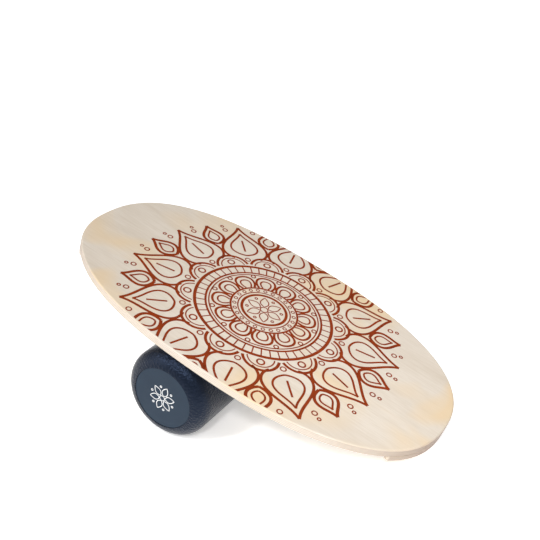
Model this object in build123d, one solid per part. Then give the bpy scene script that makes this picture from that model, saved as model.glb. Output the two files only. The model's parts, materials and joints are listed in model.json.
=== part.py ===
from build123d import *
import math
import os

# Balance board: an oval plywood deck with an end stop under each end, lying across one loose roller.
# Every piece is shaped in the deck's own frame and then set down as the board rests when nobody is
# on it: the roller on the floor and the deck's low end (+X) on the floor.
# Deck frame: X along the deck towards its low end, Y across it, Z out of the top face, with the
# origin at the middle of the top face.

# ---------------------------------------------------------------- driving dimensions, mm
DECK_LENGTH = 750.0
DECK_WIDTH = 437.0
OUTLINE_EXPONENT = 2.38  # superellipse exponent: 2 is an ellipse, larger is squarer
OUTLINE_POINTS = 72
DECK_PLY_COUNT = 9
DECK_PLY_THICKNESS = 1.5
DECK_TOP_ROUND = 3.0
DECK_BOTTOM_ROUND = 1.2

STOP_DEPTH = 55.0  # from the straight inner edge to the deck's tip
STOP_PLY_COUNT = 7
STOP_PLY_THICKNESS = 1.4
STOP_EDGE_ROUND = 1.2
STOP_CORNER_ROUND = 5.0

SCREW_COUNT = 3  # under each stop
SCREW_PITCH = 85.0
SCREW_SETBACK = 22.0  # from the stop's inner edge
SCREW_HEAD_RADIUS = 4.0
SCREW_HEAD_HEIGHT = 2.4
SCREW_SHANK_RADIUS = 2.0
SCREW_LENGTH = 18.0
SCREW_POINT_LENGTH = 3.0
SCREW_TIP_RADIUS = 0.5
SCREW_CLEARANCE = 0.1
SCREW_SLOT_WIDTH = 1.0
SCREW_SLOT_LENGTH = 4.4
SCREW_SLOT_DEPTH = 1.2

ROLLER_RADIUS = 80.0
ROLLER_LENGTH = 460.0
ROLLER_SHOULDER = 28.0
ROLLER_WALL = 5.0
ROLLER_END_WALL = 12.0
ROLLER_OFFSET = -30.4  # the roller's axis from the deck's middle, along the deck

COVER_RADIUS = 56.0
COVER_THICKNESS = 2.5
COVER_RECESS = 1.0
COVER_EDGE_ROUND = 0.8
FLANGE_THICKNESS = 3.0
PLUG_RADIUS = 46.0
PLUG_DEPTH = 11.0
SEAT_CLEARANCE = 0.15  # pieces of the roller that are pushed into one another

BULKHEAD_COUNT = 4
BULKHEAD_THICKNESS = 5.0
BULKHEAD_HOLE_COUNT = 6
BULKHEAD_HOLE_RADIUS = 14.0
BULKHEAD_HOLE_CIRCLE = 46.0

TUBE_OUTER_RADIUS = 16.0
TUBE_WALL = 3.0
ROD_RADIUS = 4.0
NUT_ACROSS_FLATS = 13.0
NUT_SIDES = 6
NUT_HEIGHT = 6.5
WASHER_RADIUS = 8.0
WASHER_THICKNESS = 1.6
ROD_PROUD = 0.8  # rod past the nut
POCKET_RADIUS = 9.5

RUNNING_GAP = 0.3  # between pieces that turn or slide past one another
CUT_LONGER = 2.0  # a cutting shape's length as a share of what it cuts
LOW = (Align.CENTER, Align.CENTER, Align.MIN)  # standing on its own base

# ---------------------------------------------------------------- sizes that follow
DECK_THICKNESS = DECK_PLY_COUNT * DECK_PLY_THICKNESS
STOP_THICKNESS = STOP_PLY_COUNT * STOP_PLY_THICKNESS
HALF_LENGTH = DECK_LENGTH / 2
HALF_WIDTH = DECK_WIDTH / 2
STOP_INNER_X = HALF_LENGTH - STOP_DEPTH
AXIS_DEPTH = DECK_THICKNESS + RUNNING_GAP + ROLLER_RADIUS  # roller axis below the top face
HALF_ROLLER = ROLLER_LENGTH / 2
FLANGE_FACE = HALF_ROLLER - COVER_RECESS - COVER_THICKNESS  # outer face of the end disc's flange
PLUG_FACE = FLANGE_FACE - FLANGE_THICKNESS - PLUG_DEPTH  # inner face of the end disc
POCKET_DEPTH = RUNNING_GAP + WASHER_THICKNESS + NUT_HEIGHT + ROD_PROUD + RUNNING_GAP
POCKET_FLOOR = FLANGE_FACE - POCKET_DEPTH
TUBE_LENGTH = 2 * (PLUG_FACE - RUNNING_GAP)
WASHER_FACE = POCKET_FLOOR + RUNNING_GAP
NUT_FACE = WASHER_FACE + WASHER_THICKNESS
ROD_LENGTH = 2 * (NUT_FACE + NUT_HEIGHT + ROD_PROUD)


def lean_angle(tip_distance):
    """Angle in degrees between deck and floor when the tip that is tip_distance along the deck from
    the roller's axis rests on the floor: the floor touches both the roller and the stop's round."""
    run = tip_distance - STOP_EDGE_ROUND
    rise = AXIS_DEPTH - DECK_THICKNESS - STOP_THICKNESS + STOP_EDGE_ROUND
    reach = math.hypot(run, rise)
    return math.degrees(math.atan2(rise, run) + math.asin((ROLLER_RADIUS - STOP_EDGE_ROUND) / reach))


def travel_to_stop():
    """Distance along the deck from its middle to the roller's axis when the roller meets a stop."""
    rise = AXIS_DEPTH - DECK_THICKNESS - STOP_THICKNESS + STOP_EDGE_ROUND
    reach = ROLLER_RADIUS + STOP_EDGE_ROUND + RUNNING_GAP
    return STOP_INNER_X + STOP_EDGE_ROUND - math.sqrt(reach**2 - rise**2)


LEAN = lean_angle(HALF_LENGTH - ROLLER_OFFSET)
LEAN_OTHER_WAY = lean_angle(HALF_LENGTH + ROLLER_OFFSET)


def outline_point(turn):
    """Point of the superellipse |x/a|^n + |y/b|^n = 1 at a share of a full turn."""
    angle = 2 * math.pi * turn
    power = 2 / OUTLINE_EXPONENT
    x = math.copysign(abs(math.cos(angle)) ** power, math.cos(angle))
    y = math.copysign(abs(math.sin(angle)) ** power, math.sin(angle))
    return (HALF_LENGTH * x, HALF_WIDTH * y)


def outline_face():
    points = [outline_point(i / OUTLINE_POINTS) for i in range(OUTLINE_POINTS)]
    return make_face(Spline(*points, periodic=True))


def slab(bottom, top):
    """Oval plate between two heights of the deck frame, with the deck's outline."""
    return Pos(0, 0, bottom) * extrude(outline_face(), top - bottom)


def layers(blank, bottom, thickness, count):
    """A plate cut into equal flat layers, from the top one down."""
    pieces = []
    for i in range(count):
        middle = bottom + (count - i - 0.5) * thickness
        layer = Box(CUT_LONGER * DECK_LENGTH, CUT_LONGER * DECK_WIDTH, thickness)
        pieces.append(blank & Pos(0, 0, middle) * layer)
    return pieces


def deck_blank():
    blank = slab(-DECK_THICKNESS, 0)
    blank = fillet(blank.edges().group_by(Axis.Z)[-1], DECK_TOP_ROUND)
    return fillet(blank.edges().group_by(Axis.Z)[0], DECK_BOTTOM_ROUND)


def stop_blank(side):
    """End stop: the end of an oval plate past a straight cut, with rounded corners and lower edges."""
    bottom = -DECK_THICKNESS - STOP_THICKNESS
    middle = side * (STOP_INNER_X + STOP_DEPTH)
    end = Pos(middle, 0, bottom + STOP_THICKNESS / 2) * Box(2 * STOP_DEPTH, DECK_WIDTH, STOP_THICKNESS)
    blank = slab(bottom, -DECK_THICKNESS) & end
    upright_edges = blank.edges().group_by(Axis.Z)[1]
    blank = fillet(upright_edges, STOP_CORNER_ROUND)
    return fillet(blank.edges().group_by(Axis.Z)[0], STOP_EDGE_ROUND)


def screw_places(side):
    rows = [(i - (SCREW_COUNT - 1) / 2) * SCREW_PITCH for i in range(SCREW_COUNT)]
    return [Pos(side * (STOP_INNER_X + SCREW_SETBACK), y, -DECK_THICKNESS - STOP_THICKNESS) for y in rows]


def screw_form(growth):
    """Countersunk screw pointing up, with its head's face at height 0, grown all round by growth."""
    head = Cone(SCREW_HEAD_RADIUS + growth, SCREW_SHANK_RADIUS + growth, SCREW_HEAD_HEIGHT, align=LOW)
    straight = SCREW_LENGTH - SCREW_HEAD_HEIGHT - SCREW_POINT_LENGTH
    shank = Pos(0, 0, SCREW_HEAD_HEIGHT) * Cylinder(SCREW_SHANK_RADIUS + growth, straight, align=LOW)
    point = Cone(SCREW_SHANK_RADIUS + growth, SCREW_TIP_RADIUS + growth, SCREW_POINT_LENGTH, align=LOW)
    return head + shank + Pos(0, 0, SCREW_HEAD_HEIGHT + straight) * point


def screw():
    slot = Box(SCREW_SLOT_LENGTH, SCREW_SLOT_WIDTH, 2 * SCREW_SLOT_DEPTH)
    return screw_form(0) - slot - Rot(Z=90) * slot


def screw_holes(side):
    return [place * screw_form(SCREW_CLEARANCE) for place in screw_places(side)]


def on_axis(shape):
    """From a frame with the roller's axis along Z to its place under the deck."""
    return Pos(ROLLER_OFFSET, 0, -AXIS_DEPTH) * Rot(X=90) * shape


def both_ends(shape):
    """The front piece (towards -Y) and its mirror image at the back."""
    return {"front": on_axis(shape), "back": on_axis(Rot(X=180) * shape)}


def drum():
    outside = Cylinder(ROLLER_RADIUS, ROLLER_LENGTH)
    outside = fillet(outside.edges().filter_by(GeomType.CIRCLE), ROLLER_SHOULDER)
    inside = Cylinder(ROLLER_RADIUS - ROLLER_WALL, ROLLER_LENGTH - 2 * ROLLER_END_WALL)
    inside = fillet(inside.edges().filter_by(GeomType.CIRCLE), ROLLER_SHOULDER - ROLLER_WALL)
    mouth = Cylinder(PLUG_RADIUS + SEAT_CLEARANCE, CUT_LONGER * ROLLER_LENGTH)
    seat_depth = COVER_RECESS + COVER_THICKNESS + FLANGE_THICKNESS
    seat = Cylinder(COVER_RADIUS + SEAT_CLEARANCE, seat_depth, align=LOW)
    seats = [Pos(0, 0, HALF_ROLLER - seat_depth) * seat, Pos(0, 0, -HALF_ROLLER) * seat]
    return outside - inside - mouth - seats


def end_cover():
    cover = Pos(0, 0, FLANGE_FACE) * Cylinder(COVER_RADIUS, COVER_THICKNESS, align=LOW)
    return fillet(cover.edges().group_by(Axis.Z)[-1], COVER_EDGE_ROUND)


def end_disc():
    flange = Pos(0, 0, FLANGE_FACE - FLANGE_THICKNESS) * Cylinder(COVER_RADIUS, FLANGE_THICKNESS, align=LOW)
    plug = Pos(0, 0, PLUG_FACE) * Cylinder(PLUG_RADIUS, PLUG_DEPTH, align=LOW)
    pocket = Pos(0, 0, POCKET_FLOOR) * Cylinder(POCKET_RADIUS, CUT_LONGER * POCKET_DEPTH, align=LOW)
    hole = Pos(0, 0, PLUG_FACE) * Cylinder(ROD_RADIUS + RUNNING_GAP, 2 * CUT_LONGER * PLUG_DEPTH)
    return flange + plug - pocket - hole


def bulkhead():
    disc = Cylinder(ROLLER_RADIUS - ROLLER_WALL - SEAT_CLEARANCE, BULKHEAD_THICKNESS)
    bore = Cylinder(TUBE_OUTER_RADIUS + RUNNING_GAP, CUT_LONGER * BULKHEAD_THICKNESS)
    hole = Cylinder(BULKHEAD_HOLE_RADIUS, CUT_LONGER * BULKHEAD_THICKNESS)
    return disc - bore - [spot * hole for spot in PolarLocations(BULKHEAD_HOLE_CIRCLE, BULKHEAD_HOLE_COUNT)]


def distance_tube():
    bore = Cylinder(TUBE_OUTER_RADIUS - TUBE_WALL, CUT_LONGER * TUBE_LENGTH)
    return Cylinder(TUBE_OUTER_RADIUS, TUBE_LENGTH) - bore


def tie_nuts():
    bore = Cylinder(ROD_RADIUS + SEAT_CLEARANCE, 2 * CUT_LONGER * NUT_HEIGHT)
    hexagon = RegularPolygon(NUT_ACROSS_FLATS / 2, NUT_SIDES, major_radius=False)
    nut = extrude(hexagon, NUT_HEIGHT) - bore
    nut = Pos(0, 0, NUT_FACE) * nut
    return Compound([nut, Rot(X=180) * nut])


def tie_washers():
    washer = Cylinder(WASHER_RADIUS, WASHER_THICKNESS, align=LOW)
    washer = washer - Cylinder(ROD_RADIUS + SEAT_CLEARANCE, 2 * CUT_LONGER * WASHER_THICKNESS)
    washer = Pos(0, 0, WASHER_FACE) * washer
    return Compound([washer, Rot(X=180) * washer])


def deck_pieces():
    pieces = {}
    holes = screw_holes(1) + screw_holes(-1)
    deck = layers(deck_blank(), -DECK_THICKNESS, DECK_PLY_THICKNESS, DECK_PLY_COUNT)
    for i, ply in enumerate(deck, 1):
        pieces[f"deck_ply_{i:02d}"] = ply - holes
    for name, side in (("low", 1), ("high", -1)):
        bottom = -DECK_THICKNESS - STOP_THICKNESS
        stop = layers(stop_blank(side), bottom, STOP_PLY_THICKNESS, STOP_PLY_COUNT)
        for i, ply in enumerate(stop, 1):
            pieces[f"stop_{name}_ply_{i:02d}"] = ply - screw_holes(side)
        pieces[f"stop_{name}_screws"] = Compound([place * screw() for place in screw_places(side)])
    return pieces


def roller_pieces():
    pieces = {"roller_drum": on_axis(drum())}
    for end, shape in both_ends(end_cover()).items():
        pieces[f"roller_cover_{end}"] = shape
    for end, shape in both_ends(end_disc()).items():
        pieces[f"roller_end_{end}"] = shape
    spacing = 2 * PLUG_FACE / (BULKHEAD_COUNT + 1)
    for i in range(BULKHEAD_COUNT):
        place = Pos(0, 0, (i - (BULKHEAD_COUNT - 1) / 2) * spacing)
        pieces[f"roller_bulkhead_{i + 1}"] = on_axis(place * bulkhead())
    pieces["distance_tube"] = on_axis(distance_tube())
    pieces["tie_rod"] = on_axis(Cylinder(ROD_RADIUS, ROD_LENGTH))
    pieces["tie_nuts"] = on_axis(tie_nuts())
    pieces["tie_washers"] = on_axis(tie_washers())
    return pieces


def settle(pieces):
    """Lean the deck frame so that the low end meets the floor, with the floor at height 0 and the
    origin under the middle of the whole board."""
    leaned = {name: Rot(Y=LEAN) * piece for name, piece in pieces.items()}
    boxes = [piece.bounding_box() for piece in leaned.values()]
    middle = (min(b.min.X for b in boxes) + max(b.max.X for b in boxes)) / 2
    axis = (Rot(Y=LEAN) * Pos(ROLLER_OFFSET, 0, -AXIS_DEPTH)).position
    return {name: Pos(-middle, 0, ROLLER_RADIUS - axis.Z) * piece for name, piece in leaned.items()}


def main():
    os.makedirs("parts", exist_ok=True)
    for name, piece in settle({**deck_pieces(), **roller_pieces()}).items():
        export_step(piece, f"parts/{name}.step")


main()
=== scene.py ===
import json
import math

import bpy
import numpy as np
from mathutils import Matrix, Vector


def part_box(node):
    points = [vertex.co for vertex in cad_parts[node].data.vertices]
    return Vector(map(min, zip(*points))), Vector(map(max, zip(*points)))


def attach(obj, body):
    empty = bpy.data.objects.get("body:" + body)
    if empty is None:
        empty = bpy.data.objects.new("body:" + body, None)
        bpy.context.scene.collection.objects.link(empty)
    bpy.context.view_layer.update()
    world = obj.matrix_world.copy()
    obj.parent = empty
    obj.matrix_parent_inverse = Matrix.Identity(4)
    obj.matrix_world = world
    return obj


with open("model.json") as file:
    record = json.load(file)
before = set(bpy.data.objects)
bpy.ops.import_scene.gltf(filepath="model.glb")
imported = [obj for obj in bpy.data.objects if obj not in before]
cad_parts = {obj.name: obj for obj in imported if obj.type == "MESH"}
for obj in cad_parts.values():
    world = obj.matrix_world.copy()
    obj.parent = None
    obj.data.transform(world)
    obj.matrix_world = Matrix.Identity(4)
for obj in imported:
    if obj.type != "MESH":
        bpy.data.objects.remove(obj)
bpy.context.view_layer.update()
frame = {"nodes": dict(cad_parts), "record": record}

# A plywood balance board on a moulded roller. Lengths are in millimetres in the deck's own plane
# (u along the deck towards its low end, v across it, out of the top face last) and in metres in
# the shared frame.
MM = 0.001

# ------------------------------------------------------------------ where the deck and roller are
mount = {m["name"]: m for m in frame["record"]["mounts"]}["deck_top"]
deck_middle = np.array(mount["pos_m"])
deck_normal = np.array(mount["axis"])
lean = math.atan2(deck_normal[0], deck_normal[2])
along = np.array([math.cos(lean), 0.0, -math.sin(lean)])
across = np.array([0.0, 1.0, 0.0])


def node_points(name):
    """All the vertices of a CAD node, in metres, as rows."""
    mesh = frame["nodes"][name].data
    flat = np.zeros(len(mesh.vertices) * 3)
    mesh.vertices.foreach_get("co", flat)
    return flat.reshape(-1, 3)


mid_ply = node_points("deck_ply_05") - deck_middle
HALF_LENGTH = np.abs(mid_ply @ along).max() / MM
HALF_WIDTH = np.abs(mid_ply @ across).max() / MM
OUTLINE_EXPONENT = 2.38

drum_low, drum_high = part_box("roller_drum")
axle = (drum_low + drum_high) / 2


# ------------------------------------------------------------------ meshes
def mesh_object(name, points, faces, body, material, smooth=False):
    """A piece from its points in metres and its faces, riding on a CAD body."""
    mesh = bpy.data.meshes.new(name)
    mesh.from_pydata(points.tolist(), [], faces.tolist())
    mesh.polygons.foreach_set("use_smooth", [smooth] * len(mesh.polygons))
    mesh.materials.append(material)
    mesh.validate()
    piece = bpy.data.objects.new(name, mesh)
    bpy.context.scene.collection.objects.link(piece)
    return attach(piece, body)


# ------------------------------------------------------------------ printed lines
STEP = 1.5  # between neighbouring points of a path
FEWEST_POINTS = 8  # of a curve or an arc
BLUNT_SHARE = 0.15  # of the width's square that a tapered end keeps
HEIGHT_LEVELS = 7  # different heights of neighbouring strokes
HEIGHT_SPREAD = 0.5  # share of the height that the levels are spread over
BOLD = 6.0
HEAVY = 5.4
PLAIN = 4.0
FINE = 2.5
FOLDS = 12  # equal parts that a circle is divided into with compasses
HALF_TURN = 180 / FOLDS  # from one axis to the next
ROSETTE_PETALS = 6
MIDDLE_BEADS = 24
LADDER_SPOKES = 48


def turned(path, degrees):
    """A path turned about the pattern's middle: each point times the rotation matrix."""
    c, s = math.cos(math.radians(degrees)), math.sin(math.radians(degrees))
    return path @ np.array([[c, s], [-s, c]])


def mirrored(path):
    """A path with its second coordinate reversed."""
    return path * np.array([1.0, -1.0])


def curve(*handles):
    """Bezier curve of any degree: the sum of each handle times its Bernstein polynomial."""
    handles = np.array(handles, float)
    degree = len(handles) - 1
    length = np.linalg.norm(np.diff(handles, axis=0), axis=1).sum()
    t = np.linspace(0, 1, max(FEWEST_POINTS, int(length / STEP)))[:, None]
    weights = [math.comb(degree, i) * (1 - t) ** (degree - i) * t**i for i in range(degree + 1)]
    return sum(w * h for w, h in zip(weights, handles))


def arc(middle, radius, start, end):
    """Part of a circle, from one angle to another in degrees."""
    sweep = math.radians(abs(end - start))
    count = max(FEWEST_POINTS, int(radius * sweep / STEP))
    angles = np.radians(np.linspace(start, end, count))
    return np.array(middle) + radius * np.stack([np.cos(angles), np.sin(angles)], 1)


def line(start, end):
    """Straight run from one point to another."""
    start, end = np.array(start), np.array(end)
    count = max(2, int(np.linalg.norm(end - start) / STEP))
    return start + (end - start) * np.linspace(0, 1, count)[:, None]


def polar(radius, degrees):
    """Point at a distance and an angle from the middle: radius times the angle's cosine and sine."""
    return (radius * math.cos(math.radians(degrees)), radius * math.sin(math.radians(degrees)))


def ribbon(path, width, taper=0.0):
    """Left and right edges of a stroke: the path plus and minus half the width along its normal,
    where the normal is the path's direction turned a quarter. With a taper, the last stretch of
    that length at each end narrows to a point with the square root of the distance."""
    ahead = np.gradient(path, axis=0)
    ahead /= np.linalg.norm(ahead, axis=1)[:, None]
    normal = np.stack([-ahead[:, 1], ahead[:, 0]], 1)
    half = np.full(len(path), width / 2)
    if taper:
        run = np.concatenate([[0], np.cumsum(np.linalg.norm(np.diff(path, axis=0), axis=1))])
        near = np.minimum(run, run[-1] - run)
        half = half * np.clip(BLUNT_SHARE + near / taper, 0, 1) ** 0.5
    return path + normal * half[:, None], path - normal * half[:, None]


def outline_value(points, inset):
    """Below 0 inside the superellipse of the deck's outline drawn in by inset, above 0 outside it:
    |u/a|^n + |v/b|^n - 1."""
    a, b = HALF_LENGTH - inset, HALF_WIDTH - inset
    u, v = np.abs(points[:, 0]) / a, np.abs(points[:, 1]) / b
    return u**OUTLINE_EXPONENT + v**OUTLINE_EXPONENT - 1


def cut_at_outline(left, right, inset):
    """The stretches of a stroke that lie inside the outline. Where the outline crosses the stroke,
    the outer edge's point moves along the cross line to the outline, in proportion to the two
    outline values."""
    gl, gr = outline_value(left, inset), outline_value(right, inset)
    share = gl / np.where(np.abs(gl - gr) < 1e-12, 1e-12, gl - gr)
    crossing = left + (right - left) * share[:, None]
    new_left = np.where((gl > 0)[:, None], crossing, left)
    new_right = np.where((gr > 0)[:, None], crossing, right)
    inside = (gl < 0) | (gr < 0)
    edges = np.flatnonzero(np.diff(np.concatenate([[0], inside.astype(int), [0]])))
    for start, end in zip(edges[::2], edges[1::2]):
        if end - start > 1:
            yield new_left[start:end], new_right[start:end]


def strip_solid(left, right, height, depth, closed):
    """Closed thin bar over a stroke: four points at each station (left and right, at the height and
    at the depth), joined to the next station by four faces, with a cap at each open end."""
    count = len(left)
    top = np.full((count, 1), height)
    low = np.full((count, 1), -depth)
    rows = [np.hstack(pair) for pair in ((left, top), (right, top), (right, low), (left, low))]
    points = np.stack(rows, 1).reshape(-1, 3)
    steps = np.arange(count if closed else count - 1)
    here, there = 4 * steps, 4 * ((steps + 1) % count)
    faces = []
    for i in range(4):
        j = (i + 1) % 4
        faces.append(np.stack([here + i, here + j, there + j, there + i], 1))
    faces = np.concatenate(faces)
    if not closed:
        last = 4 * (count - 1)
        caps = [[3, 2, 1, 0], [last, last + 1, last + 2, last + 3]]
        faces = np.concatenate([faces, caps])
    return points, faces


def printed(strokes, height, depth, inset=None):
    """All strokes as one mesh in the plane of the print. A stroke is (path, width, taper), and a
    path whose ends meet is closed. Neighbouring strokes differ a little in height, so that no two
    of their faces lie in one plane."""
    points, faces, base = [], [], 0
    for number, (path, width, taper) in enumerate(strokes):
        closed = np.linalg.norm(path[0] - path[-1]) < 1e-6
        left, right = ribbon(path[:-1] if closed else path, width, taper)
        if closed:
            wrapped = np.concatenate([path[-2:-1], path[:-1], path[:1]])
            left, right = (edge[1:-1] for edge in ribbon(wrapped, width))
        whole = inset is None or (outline_value(np.vstack([left, right]), inset) < 0).all()
        parts = [(left, right)] if whole else cut_at_outline(left, right, inset)
        for part_left, part_right in parts:
            lift = height * (1 - HEIGHT_SPREAD * (number % HEIGHT_LEVELS) / HEIGHT_LEVELS)
            p, f = strip_solid(part_left, part_right, lift, depth, closed and whole)
            points.append(p)
            faces.append(f + base)
            base += len(p)
    return np.concatenate(points), np.concatenate(faces)


def all_round(strokes, count=FOLDS, start=0.0):
    """Every stroke repeated at equal turns about the middle."""
    turns = [start + 360 * k / count for k in range(count)]
    return [(turned(path, turn), width, taper) for turn in turns for path, width, taper in strokes]


def both_sides(strokes):
    """Every stroke and its mirror image."""
    return strokes + [(mirrored(path), width, taper) for path, width, taper in strokes]


def ring(radius, width):
    """Circle about the middle."""
    return (arc((0, 0), radius, 0, 360), width, 0)


def bead(radius, degrees, size, width):
    """Small ring at a distance and an angle from the middle."""
    return (arc(polar(radius, degrees), size, 0, 360), width, 0)


def spoke(start, end, degrees, width):
    """Straight line that runs away from the middle."""
    return (line(polar(start, degrees), polar(end, degrees)), width, 0)


def rosette(radius, width):
    """Six almond petals about a small ring, with a bud between each two. Each side of a petal is one
    curve, and all the places are shares of the rosette's radius."""
    side = [(0.24, 0), (0.5, 0.42), (0.8, 0.14), (1, 0)]
    petal = [(curve(*(radius * np.array(side))), width, 0.1 * radius)]
    bud = [bead(0.9 * radius, 0, 0.07 * radius, width)]
    between = 180 / ROSETTE_PETALS
    petals = all_round(both_sides(petal), ROSETTE_PETALS)
    return [ring(0.2 * radius, width)] + petals + all_round(bud, ROSETTE_PETALS, between)


def middle_rings():
    """Rings round the rosette with a row of beads between two of them."""
    beads = [bead(56, 360 * k / MIDDLE_BEADS, 3.2, FINE * 0.8) for k in range(MIDDLE_BEADS)]
    return [ring(42, HEAVY), ring(49.5, FINE), ring(63, PLAIN)] + beads


def round_petals():
    """Rounded petal with a smaller one in it."""
    return both_sides([
        (curve((64, 12), (74, 22), (97, 22), (97, 0)), HEAVY * 0.85, 0),
        (curve((65, 5), (73, 12), (87, 13), (87, 0)), PLAIN * 0.8, 0),
    ])


def ladder():
    """Band of short spokes between two rings, and a fine ring inside it."""
    spokes = [spoke(110, 127, 360 * k / LADDER_SPOKES, FINE) for k in range(LADDER_SPOKES)]
    return [ring(103, FINE), ring(109, PLAIN), ring(129, BOLD)] + spokes


def scallops():
    """Half rings that stand side by side on the bold ring, with a bead in each."""
    return [
        (arc((131, 0), 32, -86, 86), HEAVY, 0),
        (arc((131, 0), 24, -88, 88), FINE, 0),
        bead(143, 0, 6.5, PLAIN * 0.8),
    ]


def leaves():
    """Pointed leaf with a smaller leaf and a vein in it. Each side of a leaf is one curve that bulges
    out from the foot and hollows towards the tip."""
    return both_sides([
        (curve((155, 26), (166, 56), (208, 58), (224, 12), (262, 0)), HEAVY, 0),
        (curve((166, 0), (172, 38), (206, 38), (214, 8), (240, 0)), PLAIN, 0),
    ]) + [spoke(179, 216, 0, PLAIN)]


def outer_leaves():
    """Narrower pointed leaf in the gap between two leaves, with a smaller one in it."""
    return both_sides([
        (curve((203, 0), (214, 30), (240, 28), (246, 5), (264, 0)), HEAVY * 1.1, 0),
        (curve((213, 0), (219, 16), (233, 15), (237, 3), (248, 0)), PLAIN * 0.9, 0),
    ])


def pattern():
    """All strokes of the print on the deck, on even turns about its middle."""
    on_axes = round_petals() + scallops() + outer_leaves()
    between_axes = [bead(98, 0, 4.2, FINE), bead(152, 0, 5.0, FINE)] + leaves()
    gaps = both_sides([bead(250, 8.2, 4.6, FINE), bead(263, 7.6, 3.0, FINE)])
    strokes = middle_rings() + rosette(36, FINE * 0.9) + ladder()
    return strokes + all_round(on_axes + gaps) + all_round(between_axes, start=HALF_TURN)


# ------------------------------------------------------------------ materials
def linear(hex_colour):
    """sRGB hex to linear RGBA: c/12.92 in the dark, ((c + 0.055)/1.055)^2.4 elsewhere."""
    values = [int(hex_colour[i:i + 2], 16) / 255 for i in (1, 3, 5)]
    return [c / 12.92 if c <= 0.04045 else ((c + 0.055) / 1.055) ** 2.4 for c in values] + [1.0]


def add(tree, kind, sockets=None, **settings):
    """A node with its settings and its sockets, each given a value or linked to another node."""
    made = tree.nodes.new(kind)
    for name, value in settings.items():
        setattr(made, name, value)
    for name, value in (sockets or {}).items():
        if isinstance(value, bpy.types.NodeSocket):
            tree.links.new(value, made.inputs[name])
        else:
            made.inputs[name].default_value = value
    return made


def new_material(name):
    material = bpy.data.materials.new(name)
    material.use_nodes = True
    tree = material.node_tree
    return material, tree, tree.nodes["Principled BSDF"]


MIX_A, MIX_B, MIX_OUT = 6, 7, 2  # sockets of a colour mix


def wood(name, pale, dark, warm, grain_turn, end_dark, roughness):
    """Birch veneer, rotary cut, sanded and clear oiled: a pale, nearly white wood with a silky
    figure that runs with the grain. Its pores are 0.1 mm wide, too fine to show, so the streaks
    are drawn 2 to 4 mm wide. End grain is darker and browner than the long grain."""
    material, tree, shader = new_material(name)
    turn = math.radians(grain_turn)
    place = add(tree, "ShaderNodeTexCoord")
    flat = add(tree, "ShaderNodeMapping", {
        "Vector": place.outputs["Object"], "Rotation": (0.0, -lean, 0.0)})
    grain = add(tree, "ShaderNodeMapping", {
        "Vector": flat.outputs[0], "Rotation": (0.0, 0.0, turn), "Scale": (9.0, 120.0, 120.0)})
    streak = add(tree, "ShaderNodeTexNoise", {
        "Vector": grain.outputs[0], "Scale": 2.2, "Detail": 5.0, "Roughness": 0.62, "Distortion": 0.3})
    figure = add(tree, "ShaderNodeMapping", {
        "Vector": flat.outputs[0], "Rotation": (0.0, 0.0, turn), "Scale": (3.2, 13.0, 13.0)})
    cloud = add(tree, "ShaderNodeTexNoise", {
        "Vector": figure.outputs[0], "Scale": 1.6, "Detail": 3.0, "Roughness": 0.55, "Distortion": 1.2})
    patch = add(tree, "ShaderNodeTexNoise", {
        "Vector": flat.outputs[0], "Scale": 5.5, "Detail": 2.0, "Roughness": 0.5, "Distortion": 0.6})
    streak_range = add(tree, "ShaderNodeMapRange", {
        "Value": streak.outputs["Fac"], "From Min": 0.40, "From Max": 0.72, "To Min": 0.0, "To Max": 0.55})
    cloud_range = add(tree, "ShaderNodeMapRange", {
        "Value": cloud.outputs["Fac"], "From Min": 0.42, "From Max": 0.70, "To Min": 0.0, "To Max": 0.45})
    patch_range = add(tree, "ShaderNodeMapRange", {
        "Value": patch.outputs["Fac"], "From Min": 0.50, "From Max": 0.68, "To Min": 0.0, "To Max": 0.75})
    base = add(tree, "ShaderNodeMix", {
        0: streak_range.outputs[0], MIX_A: linear(pale), MIX_B: linear(dark)}, data_type="RGBA")
    figured = add(tree, "ShaderNodeMix", {
        0: cloud_range.outputs[0], MIX_A: base.outputs[MIX_OUT], MIX_B: linear(dark)}, data_type="RGBA")
    warmed = add(tree, "ShaderNodeMix", {
        0: patch_range.outputs[0], MIX_A: figured.outputs[MIX_OUT], MIX_B: linear(warm)}, data_type="RGBA")
    grain_way = (math.cos(turn) * along[0], math.sin(turn), math.cos(turn) * along[2])
    facing = add(tree, "ShaderNodeVectorMath", {
        0: place.outputs["Normal"], 1: grain_way}, operation="DOT_PRODUCT")
    end_share = add(tree, "ShaderNodeMath", {0: facing.outputs["Value"]}, operation="ABSOLUTE")
    end_share = add(tree, "ShaderNodeMapRange", {
        "Value": end_share.outputs[0], "From Min": 0.25, "From Max": 0.95, "To Min": 0.0, "To Max": 0.85})
    final = add(tree, "ShaderNodeMix", {
        0: end_share.outputs[0], MIX_A: warmed.outputs[MIX_OUT], MIX_B: linear(end_dark)}, data_type="RGBA")
    relief = add(tree, "ShaderNodeBump", {
        "Height": streak.outputs["Fac"], "Strength": 0.12, "Distance": 0.0004})
    tree.links.new(final.outputs[MIX_OUT], shader.inputs["Base Color"])
    tree.links.new(relief.outputs[0], shader.inputs["Normal"])
    shader.inputs["Roughness"].default_value = roughness
    shader.inputs["IOR"].default_value = 1.5
    return material


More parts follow.
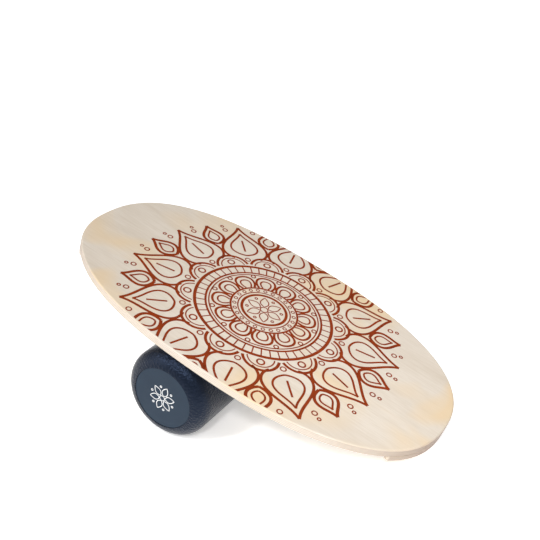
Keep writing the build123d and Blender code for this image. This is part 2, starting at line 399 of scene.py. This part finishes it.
def ink():
    """Screen-printed red-brown ink on oiled wood: a thin matt film, a little uneven where the wood
    took more or less of it."""
    material, tree, shader = new_material("screen_printed_ink")
    place = add(tree, "ShaderNodeTexCoord")
    uneven = add(tree, "ShaderNodeTexNoise", {
        "Vector": place.outputs["Object"], "Scale": 60.0, "Detail": 4.0, "Roughness": 0.6})
    spread = add(tree, "ShaderNodeMapRange", {
        "Value": uneven.outputs["Fac"], "From Min": 0.3, "From Max": 0.7})
    tint = add(tree, "ShaderNodeMix", {
        0: spread.outputs[0], MIX_A: linear("#7E2E10"), MIX_B: linear("#92380F")}, data_type="RGBA")
    tree.links.new(tint.outputs[MIX_OUT], shader.inputs["Base Color"])
    shader.inputs["Specular IOR Level"].default_value = 0.15
    shader.inputs["Roughness"].default_value = 0.7
    return material


def white_ink():
    """Pad-printed white ink on plastic: opaque, matt, with a faint unevenness."""
    material, tree, shader = new_material("pad_printed_white")
    place = add(tree, "ShaderNodeTexCoord")
    uneven = add(tree, "ShaderNodeTexNoise", {
        "Vector": place.outputs["Object"], "Scale": 150.0, "Detail": 3.0})
    tint = add(tree, "ShaderNodeMix", {
        0: uneven.outputs["Fac"], MIX_A: linear("#E4E6E8"), MIX_B: linear("#F4F4F2")}, data_type="RGBA")
    tree.links.new(tint.outputs[MIX_OUT], shader.inputs["Base Color"])
    shader.inputs["Roughness"].default_value = 0.6
    return material


def grained_shell():
    """Polyethylene drum moulded against a sand-blasted tool: near-black blue with a coarse leathery
    grain that breaks the highlights up. The grain is 3 to 4 mm across, with finer pimples on it."""
    material, tree, shader = new_material("grained_polyethylene")
    place = add(tree, "ShaderNodeTexCoord")
    cells = add(tree, "ShaderNodeTexVoronoi", {
        "Vector": place.outputs["Object"], "Scale": 300.0}, feature="SMOOTH_F1")
    grain = add(tree, "ShaderNodeTexNoise", {
        "Vector": place.outputs["Object"], "Scale": 240.0, "Detail": 3.0, "Roughness": 0.7})
    height = add(tree, "ShaderNodeMath", {
        0: cells.outputs["Distance"], 1: grain.outputs["Fac"]}, operation="ADD")
    relief = add(tree, "ShaderNodeBump", {"Height": height.outputs[0], "Strength": 1.0, "Distance": 0.0009})
    tone = add(tree, "ShaderNodeTexNoise", {
        "Vector": place.outputs["Object"], "Scale": 14.0, "Detail": 3.0})
    tint = add(tree, "ShaderNodeMix", {
        0: tone.outputs["Fac"], MIX_A: linear("#070B12"), MIX_B: linear("#0E141F")}, data_type="RGBA")
    tree.links.new(tint.outputs[MIX_OUT], shader.inputs["Base Color"])
    tree.links.new(relief.outputs[0], shader.inputs["Normal"])
    shader.inputs["Specular IOR Level"].default_value = 0.4
    shader.inputs["Specular Tint"].default_value = linear("#A4BEF0")
    shader.inputs["Roughness"].default_value = 0.3
    return material


def smooth_cover():
    """Polyethylene cover moulded against a fine-eroded tool: blue-grey, matt, almost without grain."""
    material, tree, shader = new_material("smooth_polyethylene")
    place = add(tree, "ShaderNodeTexCoord")
    tone = add(tree, "ShaderNodeTexNoise", {
        "Vector": place.outputs["Object"], "Scale": 25.0, "Detail": 3.0})
    fine = add(tree, "ShaderNodeTexNoise", {
        "Vector": place.outputs["Object"], "Scale": 900.0, "Detail": 2.0})
    relief = add(tree, "ShaderNodeBump", {
        "Height": fine.outputs["Fac"], "Strength": 0.1, "Distance": 0.0003})
    tint = add(tree, "ShaderNodeMix", {
        0: tone.outputs["Fac"], MIX_A: linear("#212F3E"), MIX_B: linear("#283747")}, data_type="RGBA")
    tree.links.new(tint.outputs[MIX_OUT], shader.inputs["Base Color"])
    tree.links.new(relief.outputs[0], shader.inputs["Normal"])
    shader.inputs["Specular IOR Level"].default_value = 0.2
    shader.inputs["Roughness"].default_value = 0.5
    return material


def plain_moulding():
    """Unpainted black polypropylene moulding with a fine matt texture."""
    material, tree, shader = new_material("matt_polypropylene")
    place = add(tree, "ShaderNodeTexCoord")
    fine = add(tree, "ShaderNodeTexNoise", {
        "Vector": place.outputs["Object"], "Scale": 400.0, "Detail": 3.0})
    relief = add(tree, "ShaderNodeBump", {
        "Height": fine.outputs["Fac"], "Strength": 0.3, "Distance": 0.0003})
    tint = add(tree, "ShaderNodeMix", {
        0: fine.outputs["Fac"], MIX_A: linear("#202226"), MIX_B: linear("#2B2E33")}, data_type="RGBA")
    tree.links.new(tint.outputs[MIX_OUT], shader.inputs["Base Color"])
    tree.links.new(relief.outputs[0], shader.inputs["Normal"])
    shader.inputs["Roughness"].default_value = 0.6
    return material


def zinc():
    """Bright zinc-plated steel: pale metal with a slightly cloudy, brushed shine."""
    material, tree, shader = new_material("zinc_plated_steel")
    place = add(tree, "ShaderNodeTexCoord")
    cloud = add(tree, "ShaderNodeTexNoise", {
        "Vector": place.outputs["Object"], "Scale": 300.0, "Detail": 4.0})
    dull = add(tree, "ShaderNodeMapRange", {"Value": cloud.outputs["Fac"], "To Min": 0.25, "To Max": 0.45})
    tint = add(tree, "ShaderNodeMix", {
        0: cloud.outputs["Fac"], MIX_A: linear("#B8B9B6"), MIX_B: linear("#D0D0CB")}, data_type="RGBA")
    tree.links.new(tint.outputs[MIX_OUT], shader.inputs["Base Color"])
    tree.links.new(dull.outputs[0], shader.inputs["Roughness"])
    shader.inputs["Metallic"].default_value = 1.0
    return material


face_veneer = wood("birch_face_veneer", "#E2D7C9", "#D0C1AE", "#E6CAA0", 0, "#BCA896", 0.5)
long_ply = wood("birch_long_ply", "#E2D7C9", "#D3C5B4", "#DCCAB0", 0, "#927C6E", 0.6)
# Cross plies: their own darker tone, deepened as painted shade, most of all on the deck's ends and in the
# band under the top rim.
cross_ply_with_painted_shade = wood("birch_cross_ply", "#AC988B", "#9A877A", "#A8937E", 90, "#D2C4B5", 0.6)
zinc_plated = zinc()
cad_materials = {
    "birch_face": face_veneer,
    "birch_long_ply": long_ply,
    "birch_cross_ply": cross_ply_with_painted_shade,
    "zinc_screw": zinc_plated,
    "grained_shell": grained_shell(),
    "smooth_cover": smooth_cover(),
    "inner_moulding": plain_moulding(),
    "drawn_tube": zinc_plated,
    "zinc_steel": zinc_plated,
}
for row in frame["record"]["subparts"]:
    cad_object = frame["nodes"][row["node"]]
    for material_slot in cad_object.material_slots:
        material_slot.material = cad_materials[row["material_slot"]]

# ------------------------------------------------------------------ the print on the deck
PRINT_HEIGHT = 0.06
PRINT_DEPTH = 0.3
PRINT_INSET = 3.6

flat_points, print_faces = printed(pattern(), PRINT_HEIGHT, PRINT_DEPTH, PRINT_INSET)
deck_axes = np.stack([along, across, deck_normal])
print_points = deck_middle + flat_points * MM @ deck_axes
mesh_object("deck_print", print_points, print_faces, "deck", ink())

# ------------------------------------------------------------------ the print on the covers
EMBLEM_RADIUS = 25.0
EMBLEM_LINE = 1.3
white = white_ink()
emblem_points, emblem_faces = printed(rosette(EMBLEM_RADIUS, EMBLEM_LINE), PRINT_HEIGHT, PRINT_DEPTH)
for end, side in (("front", -1), ("back", 1)):
    low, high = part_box(f"roller_cover_{end}")
    face_y = low.y if side < 0 else high.y
    origin = np.array([axle.x, face_y, axle.z])
    axes = np.array([[-side, 0, 0], [0, 0, 1], [0, side, 0]], float)
    mesh_object(f"cover_emblem_{end}", origin + emblem_points * MM @ axes, emblem_faces,
                "roller", white)

# ------------------------------------------------------------------ studio
def stage_material():
    """Matt white paper, lifted a little by its own glow so that it stays even to the horizon."""
    material, tree, shader = new_material("pale_paper_floor")
    shader.inputs["Base Color"].default_value = linear("#FAFAFA")
    shader.inputs["Specular IOR Level"].default_value = 0.0
    shader.inputs["Emission Color"].default_value = linear("#FFFFFF")
    shader.inputs["Emission Strength"].default_value = 0.4
    return material


FLOOR_HALF = 40.0
floor_corners = [(FLOOR_HALF * x, FLOOR_HALF * y, 0) for x, y in ((-1, -1), (1, -1), (1, 1), (-1, 1))]
floor_mesh = bpy.data.meshes.new("studio_floor")
floor_mesh.from_pydata(floor_corners, [], [(0, 1, 2, 3)])
floor_mesh.materials.append(stage_material())
floor = bpy.data.objects.new("studio_floor", floor_mesh)
bpy.context.scene.collection.objects.link(floor)

WORLD_STRENGTH = 0.15
world = bpy.data.worlds.new("studio_white")
bpy.context.scene.world = world
world.use_nodes = True
background = world.node_tree.nodes["Background"]
background.inputs[0].default_value = linear("#FFFFFF")
background.inputs[1].default_value = WORLD_STRENGTH


def aimed(name, lamp, spot, aim):
    """A lamp at a spot, facing a point."""
    lamp_object = bpy.data.objects.new(name, lamp)
    lamp_object.location = spot
    lamp_object.rotation_euler = (Vector(aim) - Vector(spot)).to_track_quat("-Z", "Y").to_euler()
    bpy.context.scene.collection.objects.link(lamp_object)


def wide_light(name, spot, strength, spread):
    """Very large far soft box: parallel light whose source fills an angle of spread degrees."""
    lamp = bpy.data.lights.new(name, "SUN")
    lamp.energy = strength
    lamp.angle = math.radians(spread)
    aimed(name, lamp, spot, (0, 0, 0))


def near_light(name, spot, aim, size, power):
    """Square soft box close by, so that its light falls off across the deck."""
    lamp = bpy.data.lights.new(name, "AREA")
    lamp.shape = "SQUARE"
    lamp.size = size
    lamp.energy = power
    aimed(name, lamp, spot, aim)


wide_light("left_front", (-0.66, -0.60, 0.42), 1.35, 60)
wide_light("overhead_front", (0.34, -0.64, 0.69), 1.15, 9)
wide_light("overhead_left", (-0.28, -0.60, 0.75), 0.95, 9)
near_light("low_end", (0.55, -0.25, 0.80), (0.28, -0.05, 0.05), 0.5, 3.6)

CAMERA_AIM = Vector(deck_middle) + Vector((-0.0042, 0.0311, 0.0658))
CAMERA_DISTANCE = 1.4037
CAMERA_AZIMUTH = 31.192
CAMERA_ELEVATION = 23.615
CAMERA_ROLL = -1.553
LENS = 51.72

lens = bpy.data.cameras.new("camera")
lens.lens = LENS
lens.sensor_width = 36.0
camera = bpy.data.objects.new("camera", lens)
turn = (Matrix.Rotation(math.radians(CAMERA_AZIMUTH), 4, "Z")
        @ Matrix.Rotation(math.radians(90 - CAMERA_ELEVATION), 4, "X")
        @ Matrix.Rotation(math.radians(CAMERA_ROLL), 4, "Z"))
camera.matrix_world = Matrix.Translation(CAMERA_AIM + turn.to_3x3() @ Vector((0, 0, CAMERA_DISTANCE))) @ turn
bpy.context.scene.collection.objects.link(camera)
bpy.context.scene.camera = camera

bpy.context.scene.view_settings.view_transform = "Standard"
